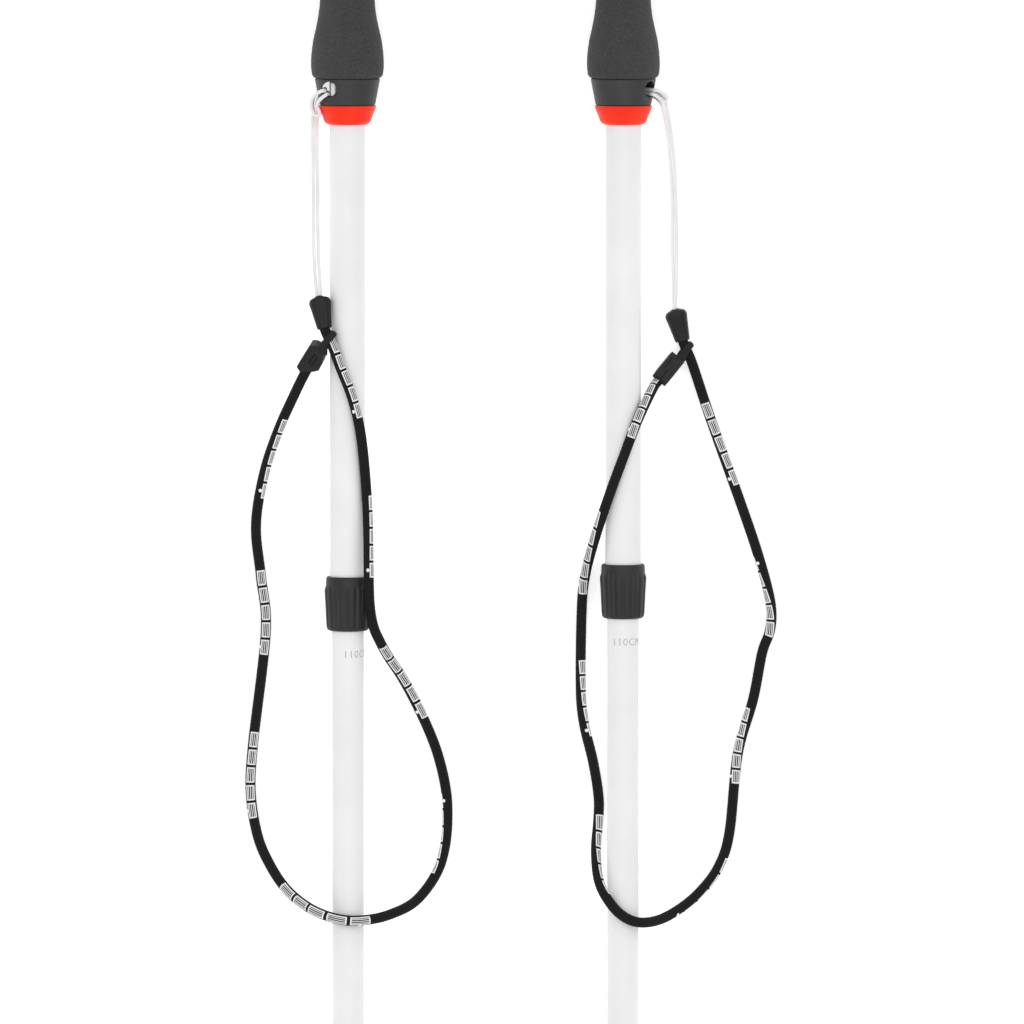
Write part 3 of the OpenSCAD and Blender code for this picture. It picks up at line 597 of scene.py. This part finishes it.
class Skin:
    """The skin of a tube along a line, on to which flat print is wrapped."""

    def __init__(self, line, radius):
        self.run, self.line, self.radius = run_of(line), line, radius
        _, self.up, self.out = upright(line)
        self.points, self.faces = [], []

    def at(self, along, across, turn, height):
        """Points at distances along the line and across the skin, turned about it and raised off it."""
        pick = [np.stack([np.interp(along, self.run, v[:, k]) for k in range(3)], -1)
                for v in (self.line, self.up, self.out)]
        angle = (turn(along) + across / self.radius)[..., None]
        outwards = np.cos(angle) * pick[1] + np.sin(angle) * pick[2]
        return pick[0] + (self.radius + height)[..., None] * outwards

    def add(self, along, across, turn, height):
        """A closed solid from a grid of rows that are rings, capped at its ends."""
        base, (rows, columns) = len(self.points), along.shape
        self.points += list(self.at(along, across, turn, height).reshape(-1, 3))
        self.faces += [tuple(base + k for k in f) for f in grid_faces(rows, columns, False, True)]
        self.faces.append(tuple(base + k for k in reversed(range(columns))))
        self.faces.append(tuple(base + (rows - 1) * columns + k for k in range(columns)))

    def bar(self, start, end, low, high, turn):
        along = np.linspace(start, end, max(2, math.ceil((end - start) / (0.8 * MM)) + 1))[:, None]
        top = np.linspace(low, high, max(2, math.ceil((high - low) / (0.8 * MM)) + 1))
        across = np.concatenate([top, top[::-1]])[None, :]
        height = np.where(np.arange(2 * len(top)) < len(top), INK_RAISED, -INK_SUNK)[None, :]
        zero = 0 * (along + across)
        self.add(along + zero, across + zero, turn, height + zero)

    def dot(self, middle, across, turn):
        """A small printed dot."""
        angle = np.linspace(0, 2 * math.pi, 20, endpoint=False)[None, :]
        radius = DOT_RADIUS * np.array([[0.05], [0.5], [1], [1], [0.5], [0.05]])
        height = np.array([[INK_RAISED], [INK_RAISED], [INK_RAISED], [-INK_SUNK], [-INK_SUNK], [-INK_SUNK]])
        zero = 0 * (angle + radius)
        along, aside = middle + radius * np.cos(angle), across + radius * np.sin(angle)
        self.add(along, aside, turn, height + zero)


def make_print(side, line):
    skin = Skin(line, LANYARD_D / 2)
    for start, end, first, last, way in PRINT_GROUPS[side]:

        def turn(along):
            return np.radians(np.interp(along, (start * MM, end * MM), (first, last)))

        pitch = (end - start) * MM / (CELLS - 1 + CELL_SHARE)
        middle = start * MM + CELL_SHARE * pitch / 2
        for k in range(CELLS):
            for bar in cell_bars(middle + k * pitch, CELL_SHARE * pitch):
                skin.bar(*bar, turn)
        dot_cell = CELLS - 1 if way > 0 else 0
        skin.dot(middle + dot_cell * pitch, -way * (CELL_WIDTH / 2 + DOT_ASIDE), turn)
    obj = mesh_object(f"{side}_lanyard_print", skin.points, skin.faces)
    return dress(obj, side, "upper", INK_WHITE, "white_cord")


INK_WHITE = ink_material("ink_white", grey(0.74), grey(0.94), 0.6)
INK_GREY = ink_material("ink_grey", grey(0.42), grey(0.50), 0.5)

# ---- Ends and sliders of the leashes ----

END_LENGTH = 16.4 * MM
END_WIDE = 5.6 * MM
END_NARROW = 3.7 * MM
END_FLATNESS = 0.84
END_PEAK = 1.4 * MM
END_GROOVE = 0.75 * MM
CORD_HOLE = 2.1 * MM
LANYARD_HOLE = 2.68 * MM


def cord_end_points(start, end):
    """A flattened cone with a peaked wide end, a groove down each broad face and a hole through it."""
    start, end = np.array(start), np.array(end)
    heading = unit(end - start)
    across = unit(np.cross(heading, [0, 0, 1]))
    over = np.cross(across, heading)
    # Share of the way from the hole's edge to the skin, and distance along
    rows = [(0, -0.4 * MM), (0.12, -0.1 * MM), (0.4, 0), (0.7, 0), (0.88, 0.05 * MM), (0.96, 0.35 * MM)]
    rows += [(1, y) for y in np.linspace(0.9 * MM, END_LENGTH - 0.9 * MM, 40)]
    rows += [(0.97, END_LENGTH - 0.35 * MM), (0.85, END_LENGTH - 0.05 * MM), (0.6, END_LENGTH)]
    rows.append((0, END_LENGTH))
    angle = np.linspace(0, 2 * math.pi, 64, endpoint=False)
    points = []
    for share, along in rows:
        t = min(1, max(0, along / END_LENGTH))
        swell = 1 - (1 - min(1, t / 0.2)) ** 2 * 0.1
        half = (END_WIDE + (END_NARROW - END_WIDE) * max(0, (t - 0.18) / 0.82) ** 0.95) * swell
        hole = CORD_HOLE if t < 0.5 else LANYARD_HOLE
        c, s = np.cos(angle), np.sin(angle)
        x = np.sign(c) * np.abs(c) ** 0.86 * half
        z = np.sign(s) * np.abs(s) ** 0.9 * max(half * END_FLATNESS, hole + 0.5 * MM)
        groove = np.exp(-((x / (0.24 * half)) ** 2)) * np.abs(s) ** 4 * math.sin(math.pi * t)
        z = z - np.sign(s) * END_GROOVE * groove
        x, z = hole * c + (x - hole * c) * share, hole * s + (z - hole * s) * share
        peak = END_PEAK * (np.abs(x) / END_WIDE) ** 1.3 * max(0, 1 - t / 0.35)
        points.append(start + x[:, None] * across + z[:, None] * over + (along + peak)[:, None] * heading)
    return np.array(points)


def make_cord_end(side, start, end):
    offset = np.array([AXIS[side][0], 0, 0])
    points = cord_end_points(np.array(start) + offset, np.array(end) + offset)
    obj = mesh_object(f"{side}_cord_end_moulded", points.reshape(-1, 3),
                      grid_faces(*points.shape[:2], True, True))
    return dress(obj, side, "upper", LOOK["shaded_end_plastic"], "black_plastic", "cord_end")


END_PLACES = {"left": ((-0.0144, 0.1712, 0.0253), (-0.0114, 0.1546, 0.0278)),
              "right": ((0.0261, 0.1636, 0.0059), (0.0300, 0.1484, 0.0049))}

# Each slider: the end that the lanyard goes in at, the band's end, and whether a narrow face is up
SLIDER_PLACES = {"left": ((-0.0204, 0.1341, 0.0204), (-0.0126, 0.1468, 0.0264), False),
                 "right": ((0.0181, 0.1282, 0.0128), (0.0278, 0.1399, 0.0074), True)}
# Half the slider's thickness
SLIDER_HALF = 4.1 * MM
# Along the slider and through its thickness, in millimetres: where its halves meet, stepped in the middle
SLIDER_SEAM = [(-4, 0), (5.3, 0), (5.3, -2), (12.2, -2), (12.2, 0), (20, 0)]
SEAM_GAP = 0.1 * MM
# The raised plate in the window of each broad face
PLATE_START, PLATE_END, PLATE_HALF, PLATE_DEEP = 5.45 * MM, 10.75 * MM, 0.75 * MM, 1.2 * MM


def slider_points(side, points):
    """Points given along, across the outline and through the thickness of a slider, in the frame."""
    start, end, on_edge = SLIDER_PLACES[side]
    heading = unit(np.array(end) - np.array(start))
    across = unit(np.cross([0, 0, 1], heading))
    over = np.cross(heading, across)
    if on_edge:
        across, over = over, -across
    origin = np.array(start) + np.array([AXIS[side][0], 0, 0])
    return origin + np.array(points) @ np.array([heading, across, over])


def slab(name, side, outline, low, high, through):
    """A prism over an outline, whose points are along and through the slider, or along and across it."""
    rows = []
    for level in (low, high):
        rows.append([(x, level, y) if through else (x, y, level) for x, y in outline])
    points = slider_points(side, rows[0] + rows[1])
    n = len(outline)
    ends = [tuple(range(n)), tuple(range(2 * n - 1, n - 1, -1))]
    return mesh_object(name, points, [*grid_faces(2, n, False, True).tolist(), *ends])


def slider_half(side, half):
    """One half of the slider, cut out of both along the stepped seam, with its edges softened."""
    way = 1 if half == "front" else -1
    plate = [(PLATE_START, -PLATE_HALF), (PLATE_END, -PLATE_HALF)]
    plate += [(PLATE_END, PLATE_HALF), (PLATE_START, PLATE_HALF)]
    top = SLIDER_HALF - 0.06 * MM
    pieces = [slab("plate", side, plate, z * top, z * (top - PLATE_DEEP), False) for z in (-1, 1)]
    seam = [(x * MM, y * MM + way * SEAM_GAP) for x, y in SLIDER_SEAM]
    region = seam + [(20 * MM, way * 9 * MM), (-4 * MM, way * 9 * MM)]
    cutter = slab("cutter", side, region, -12 * MM, 12 * MM, True)
    built = bmesh.new()
    halves = [frame["nodes"][f"{side}_slider_{name}"] for name in ("front", "back")]
    for solid in [*halves, *pieces]:
        built.from_mesh(solid.data)
    mesh = bpy.data.meshes.new(f"{side}_slider_{half}_moulded")
    built.to_mesh(mesh)
    built.free()
    obj = link(bpy.data.objects.new(mesh.name, mesh))
    whole = obj.modifiers.new("whole", "REMESH")
    whole.mode, whole.voxel_size = "VOXEL", 0.16 * MM
    cut = obj.modifiers.new("cut", "BOOLEAN")
    cut.operation, cut.object, cut.solver = "INTERSECT", cutter, "EXACT"
    again = obj.modifiers.new("again", "REMESH")
    again.mode, again.voxel_size, again.use_smooth_shade = "VOXEL", 0.15 * MM, True
    soften = obj.modifiers.new("soften", "SMOOTH")
    soften.factor, soften.iterations = 0.5, 4
    obj.data = bpy.data.meshes.new_from_object(obj.evaluated_get(bpy.context.evaluated_depsgraph_get()))
    obj.modifiers.clear()
    for helper in [*pieces, cutter]:
        bpy.data.objects.remove(helper)
    return obj


BAND_HALF = np.array([1.75, 0.95]) * MM
BAND_LEG = 9.0 * MM
BAND_WIDEST = 5.8 * MM
BAND_TAIL = 3.0 * MM
# How much wider each band is where it leaves the slider, and how far it leans to one side there
BAND_SPREAD = {"left": (1.4 * MM, -2.0 * MM), "right": (0.5 * MM, -1.7 * MM)}
# Where each band goes round the strand, and the slider's end that it comes from
BAND_PLACES = {"left": ((-0.0093, 0.1504, 0.0298), (-0.0126, 0.1468, 0.0264)),
               "right": ((0.0318, 0.1436, 0.0052), (0.0278, 0.1399, 0.0074))}


def make_band(side, at, start):
    """A soft loop: two legs out of the slider and a round end that goes over and under the strand."""
    centre = np.array(at) + np.array([AXIS[side][0], 0, 0])
    heading = unit(np.array(at) - np.array(start))
    across = unit(np.cross([0, 0, 1], heading))
    over = np.cross(heading, across)
    reach = LANYARD_D / 2 + BAND_HALF[1] + 0.1 * MM
    legs = np.linspace(-BAND_LEG, 0, 24)[:-1]
    bend = np.linspace(-math.pi / 2, math.pi / 2, 40)
    forward = np.concatenate([legs, reach * np.cos(bend), legs[::-1]])
    up = np.concatenate([0 * legs - reach, reach * np.sin(bend), 0 * legs + reach])
    line = centre + forward[:, None] * heading + up[:, None] * over
    run = unit(np.gradient(line, axis=0))
    tail = np.clip((forward + BAND_LEG) / BAND_TAIL, 0, 1) ** 0.6
    spread = np.clip(-forward / BAND_WIDEST, 0, 1) ** 1.3 * tail
    half = BAND_HALF[0] + BAND_SPREAD[side][0] * spread
    line = line + (BAND_SPREAD[side][1] * spread)[:, None] * across
    angle = np.linspace(0, 2 * math.pi, 28, endpoint=False)
    face = np.cross(run, across)
    points = (line[:, None] + half[:, None, None] * np.cos(angle)[None, :, None] * across
              + BAND_HALF[1] * np.sin(angle)[None, :, None] * face[:, None])
    faces = grid_faces(len(line), len(angle), False, True).tolist()
    last = (len(line) - 1) * len(angle)
    faces += [tuple(reversed(range(len(angle)))), tuple(last + k for k in range(len(angle)))]
    obj = mesh_object(f"{side}_slider_band_loop", points.reshape(-1, 3), faces)
    return dress(obj, side, "upper", LOOK["grip_rubber"], "grip_rubber", "slider_band")


for side in SIDES:
    leash_end = make_cord_end(side, *END_PLACES[side])
    slider = [dress(slider_half(side, half), side, "upper", LOOK["slider_plastic"], "slider_plastic",
                    f"slider_{half}") for half in ("front", "back")]
    band = make_band(side, *BAND_PLACES[side])
    marks = make_print(side, lanyards[side][1])

# ---- Grips and collars ----

FLARE_ROUND = 3.0 * MM
# Height above the foam's lower end and radius, in millimetres
FOAM_OUTLINE = [(3, 18.1), (6.5, 18.4), (12, 18.25), (19, 17.3), (26, 15.8), (33, 14.5), (40, 13.85),
                (52, 13.7), (76, 14.6), (106, 15.7), (136, 15.2), (166, 14.2), (190, 14.6), (214, 16.1),
                (229, 16.9)]
CORE_RADIUS = 10.62


def foam_outline(side):
    """The foam's outline along the pole and out from its axis."""
    low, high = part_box(f"{side}_foam_grip")
    length = (high.y - low.y) / MM
    base = [(3 + 3 * math.sin(a), 15.1 + 3 * math.cos(a)) for a in np.radians(np.linspace(-90, -10, 10))]
    skin = smooth_line([(*p, 0) for p in FOAM_OUTLINE], 12)[:, :2].tolist()
    top = [(length - 3.4, 17.0), (length - 1.6, 16.3), (length - 0.4, 14.7), (length - 0.02, 13.2)]
    inside = [(length - 0.02, CORE_RADIUS), *[(y, CORE_RADIUS) for y in np.linspace(length - 5, 5, 40)],
              (0, CORE_RADIUS), (0, 13.0)]
    outline = np.array(base + skin + top + inside) * MM
    outline[:, 0] += low.y
    return outline


def foam_relief(along, angle, radius):
    """Slight unevenness of the cut and sanded foam, on its outside only."""
    out = np.zeros_like(radius)
    for i, j in np.argwhere(radius > 12.8 * MM):
        y, a, r = along[i, j], angle[0, j], radius[i, j]
        p = Vector((r * math.cos(a), y, r * math.sin(a)))
        out[i, j] = 0.05 * MM * noise.noise(p / (2.2 * MM)) + 0.06 * MM * noise.noise(p / (9 * MM))
    return out - 0.05 * MM * (radius > 12.8 * MM)


def ring_outline(side):
    low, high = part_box(f"{side}_trim_ring")
    length = (high.y - low.y) / MM
    skin = [(0.05, 9.02), (0.1, 9.7), (0.55, 10.6), (1.2, 11.35), (2.3, 12.0), (3.9, 12.45)]
    skin += [(length - 2.4, 13.95), (length - 1.0, 14.35), (length - 0.5, 14.5), (length - 0.02, 14.2)]
    skin.append((length - 0.02, 9.02))
    outline = filleted(np.array(skin) * MM, 0.45 * MM, 0.5 * MM)
    outline[:, 0] += low.y
    return outline


NUT_RIBS = 16
RIB_DEPTH = 0.55 * MM


def nut_outline(side):
    """The lock nut's outline: its skin, and inside it the lip, the cavity and the lower tube's hole."""
    low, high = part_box(f"{side}_lock_nut")
    length = (high.y - low.y) / MM
    r = 11.85
    skin = [(0, r - 2.4), (0.9, r - 1.3), (2.6, r - 0.95), (5.5, r - 0.8), (13, r - 0.45)]
    skin += [(length - 8, r - 0.05), (length - 7, r), (length - 5.8, r - 0.3), (length - 4.6, r - 0.75)]
    skin += [(length - 1, r - 0.85), (length, r - 1.3)]
    inside = [(length, 9.35), (22.2, 9.35), (22.2, 10.75), (11.6, 10.75), (11.6, 10.17), (1.8, 10.17)]
    inside += [(1.8, 8.35), (0, 8.35)]
    outline = filleted(np.array(skin + inside) * MM, 0.5 * MM, 0.6 * MM)
    outline[:, 0] += low.y
    return outline


def nut_relief(side):
    low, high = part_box(f"{side}_lock_nut")

    def relief(along, angle, radius):
        t = (along - low.y) / (high.y - low.y)
        fade = np.clip(t / 0.1, 0, 1) * np.clip((0.86 - t) / 0.1, 0, 1)
        groove = np.clip((np.cos(NUT_RIBS * angle) + 0.15) / 1.15, 0, 1) ** 1.3
        skin = radius > np.where(along - low.y > 11 * MM, 10.85, 10.3) * MM
        return -RIB_DEPTH * fade * groove * skin

    return relief


for side in SIDES:
    foam = turned(f"{side}_foam_grip_cut", side, foam_outline(side), 200, foam_relief)
    dress(foam, side, "upper", LOOK["grip_foam"], "grip_foam", "foam_grip")
    collar = moulded(f"{side}_leash_collar_moulded", f"{side}_leash_collar", 0.26 * MM, 5)
    dress(collar, side, "upper", LOOK["collar_plastic"], "collar_plastic", "leash_collar")
    ring = turned(f"{side}_trim_ring_moulded", side, ring_outline(side), 160)
    dress(ring, side, "upper", LOOK["red_plastic"], "red_plastic", "trim_ring")
    nut = turned(f"{side}_lock_nut_moulded", side, nut_outline(side), 16 * NUT_RIBS, nut_relief(side))
    dress(nut, side, "nut", LOOK["nut_plastic"], "nut_plastic", "lock_nut")

# ---- Pale shim between the left collar and the tube, seen through the eyelet ----

SHIM_RADIUS = 3.5 * MM
SHIM_EDGE = 8.35 * MM
SHIM_TOP = 11.6 * MM
SHIM_DROP = 1.5 * MM
# The eyelet's distance from the pole's axis and below the foam
EYELET_OUT = 8.7 * MM
EYELET_DOWN = 5.1 * MM


def make_shim(side, way):
    """A crowned block that fills the eyelet's inner half, between the tube and the collar's skin."""
    x, z = AXIS[side]
    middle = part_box(f"{side}_foam_grip")[0].y - EYELET_DOWN
    across = np.linspace(EYELET_OUT - 0.98 * SHIM_RADIUS, SHIM_EDGE, 30)[:, None]
    half = np.sqrt(SHIM_RADIUS**2 - (across - EYELET_OUT) ** 2)
    crown = (across - across.mean()) / (across.max() - across.mean())
    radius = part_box(f"{side}_upper_tube")[1].x - x + 0.01 * MM
    under = np.sqrt(np.maximum(radius**2 - across**2, 0))
    share = np.linspace(-1, 1, 16)[None, :]
    top = SHIM_TOP - SHIM_DROP * crown**2 + 0 * share
    along = np.hstack([half * share, half * share[:, ::-1]])
    height = np.hstack([top, under + 0 * share])
    points = np.stack([x + way * (across + 0 * along), middle + along, z + height], -1)
    rows, columns = along.shape
    last = (rows - 1) * columns
    faces = [*grid_faces(rows, columns, False, True).tolist(), tuple(reversed(range(columns)))]
    faces.append(tuple(last + k for k in range(columns)))
    obj = mesh_object(f"{side}_eyelet_shim", points.reshape(-1, 3), faces)
    return dress(obj, side, "upper", LOOK["white_tube"], "white_tube")


make_shim("left", -1)

# ---- Length scale on the lower tubes ----

MARK_HEIGHT = 3.6 * MM
MARK_STEP = 50 * MM
MARK_VALUES = range(110, 150, 5)
MARK_RAISED = 0.03 * MM
FIRST_MARK = -0.0095
MARK_TURN = {"left": math.radians(-17), "right": math.radians(-42)}


def text_mesh(words, height):
    """Flat letters of that height, starting at the origin, cut into narrow strips to be wrapped."""
    font = bpy.data.curves.new("words", "FONT")
    font.body = words
    font.size = height / 0.7
    font.space_character = 1.12
    font.offset = -0.008 * font.size
    obj = bpy.data.objects.new("words", font)
    link(obj)
    mesh = bpy.data.meshes.new_from_object(obj.evaluated_get(bpy.context.evaluated_depsgraph_get()))
    bpy.data.objects.remove(obj)
    built = bmesh.new()
    built.from_mesh(mesh)
    wide = max(v.co.x for v in built.verts)
    for x in np.arange(0, wide, 0.5 * MM):
        everything = built.verts[:] + built.edges[:] + built.faces[:]
        bmesh.ops.bisect_plane(built, geom=everything, plane_co=(x, 0, 0), plane_no=(1, 0, 0))
    bmesh.ops.triangulate(built, faces=built.faces)
    built.to_mesh(mesh)
    built.free()
    return mesh


def make_scale(side):
    """The centimetre marks, wrapped round the lower tube."""
    x, z = AXIS[side]
    low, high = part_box(f"{side}_lower_tube")
    radius = (high.x - low.x) / 2
    built = bmesh.new()
    for k, value in enumerate(MARK_VALUES):
        mesh = text_mesh(f"{value}CM", MARK_HEIGHT)
        y = FIRST_MARK + (SHAFT_SHIFT if side == "right" else 0) + k * MARK_STEP
        for v in mesh.vertices:
            angle = MARK_TURN[side] + v.co.x / radius
            r = radius + MARK_RAISED
            v.co = (x + r * math.sin(angle), y + v.co.y - MARK_HEIGHT / 2, z + r * math.cos(angle))
        built.from_mesh(mesh)
    mesh = bpy.data.meshes.new(f"{side}_length_scale")
    bmesh.ops.recalc_face_normals(built, faces=built.faces)
    built.to_mesh(mesh)
    built.free()
    obj = link(bpy.data.objects.new(f"{side}_length_scale", mesh))
    skin = obj.modifiers.new("ink", "SOLIDIFY")
    skin.thickness = MARK_RAISED
    skin.offset = 0
    return dress(obj, side, "lower", INK_GREY, "wedge_plastic")


for side in SIDES:
    make_scale(side)

# ---- Stage and light ----

FLOOR_SIZE = 8.0
FLOOR_DROP = 0.0002


def floor_material():
    material, tree, shader, place = blank("floor")
    cloud = noise_at(tree, place, 0.3, 3.0)
    tree.links.new(ramp(tree, cloud, 0.3, 0.7, grey(0.94), grey(0.96)), shader.inputs["Base Color"])
    shader.inputs["Roughness"].default_value = 0.9
    shader.inputs["Specular IOR Level"].default_value = 0.2
    shader.inputs["Emission Color"].default_value = (1, 1, 1, 1)
    shader.inputs["Emission Strength"].default_value = 0.42
    return material


def make_floor():
    half = FLOOR_SIZE / 2
    corners = [(x, y, -FLOOR_DROP) for x, y in ((-half, -half), (half, -half), (half, half), (-half, half))]
    floor = mesh_object("floor", corners, [(0, 1, 2, 3)])
    floor.data.materials.append(floor_material())


def make_lamp(name, place, size, power):
    """A square soft box that points at the middle of the pair."""
    data = bpy.data.lights.new(name, "AREA")
    data.shape = "SQUARE"
    data.size = size
    data.energy = power
    lamp = link(bpy.data.objects.new(name, data))
    lamp.location = place
    lamp.rotation_euler = (Vector((0, 0.06, 0)) - Vector(place)).to_track_quat("-Z", "Y").to_euler()


def make_world():
    world = bpy.data.worlds.new("studio")
    world.use_nodes = True
    background = world.node_tree.nodes["Background"]
    background.inputs["Color"].default_value = (1, 1, 1, 1)
    background.inputs["Strength"].default_value = 0.72
    bpy.context.scene.world = world


make_floor()
make_world()
make_lamp("top_box", (0.0, 0.3, 2.2), 2.4, 20)
bpy.context.scene.view_settings.view_transform = "Standard"
